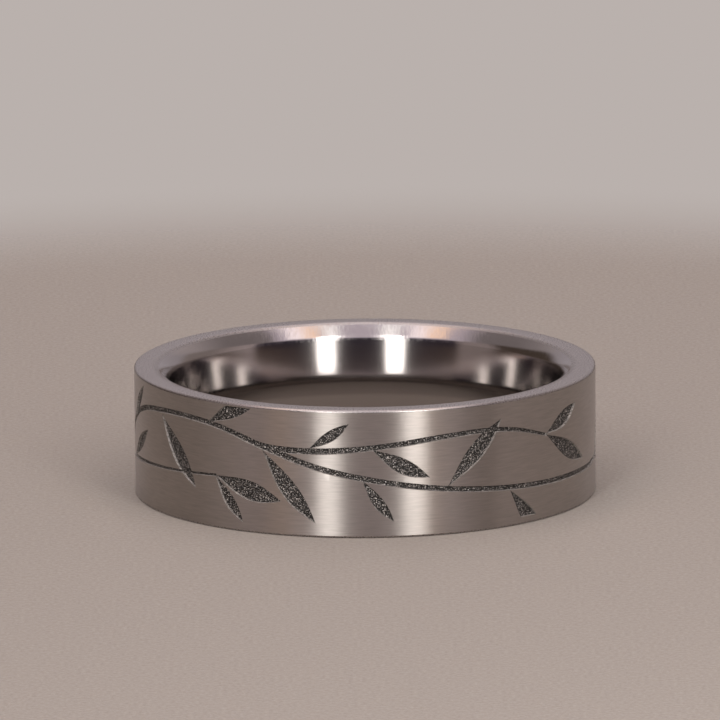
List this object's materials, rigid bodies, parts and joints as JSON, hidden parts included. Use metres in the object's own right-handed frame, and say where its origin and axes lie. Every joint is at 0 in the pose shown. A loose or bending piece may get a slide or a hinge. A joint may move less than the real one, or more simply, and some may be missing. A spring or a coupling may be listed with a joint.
{
  "type": "wedding band",
  "caption": "Comfort-fit ring with a flat brushed outer face, a polished bore and an engraved, blackened leafy vine.",
  "frame": {"origin": "centre of the lower rim, on the finger axis", "axes": "+Z along the finger axis, from the lower rim to the upper rim; -Y towards the front, where the vine's two stems part"},
  "size_m": [0.0218, 0.0218, 0.006],
  "materials": {
    "titanium": "titanium: brushed round the outside, satin rims, polished bore",
    "blackened_engraving": "dark granular floor left by the engraving laser"
  },
  "bodies": {
    "root": {"band": "titanium", "blackened_stem": "blackened_engraving", "blackened_branches": "blackened_engraving", "blackened_leaves": "blackened_engraving"}
  },
  "joints": []
}
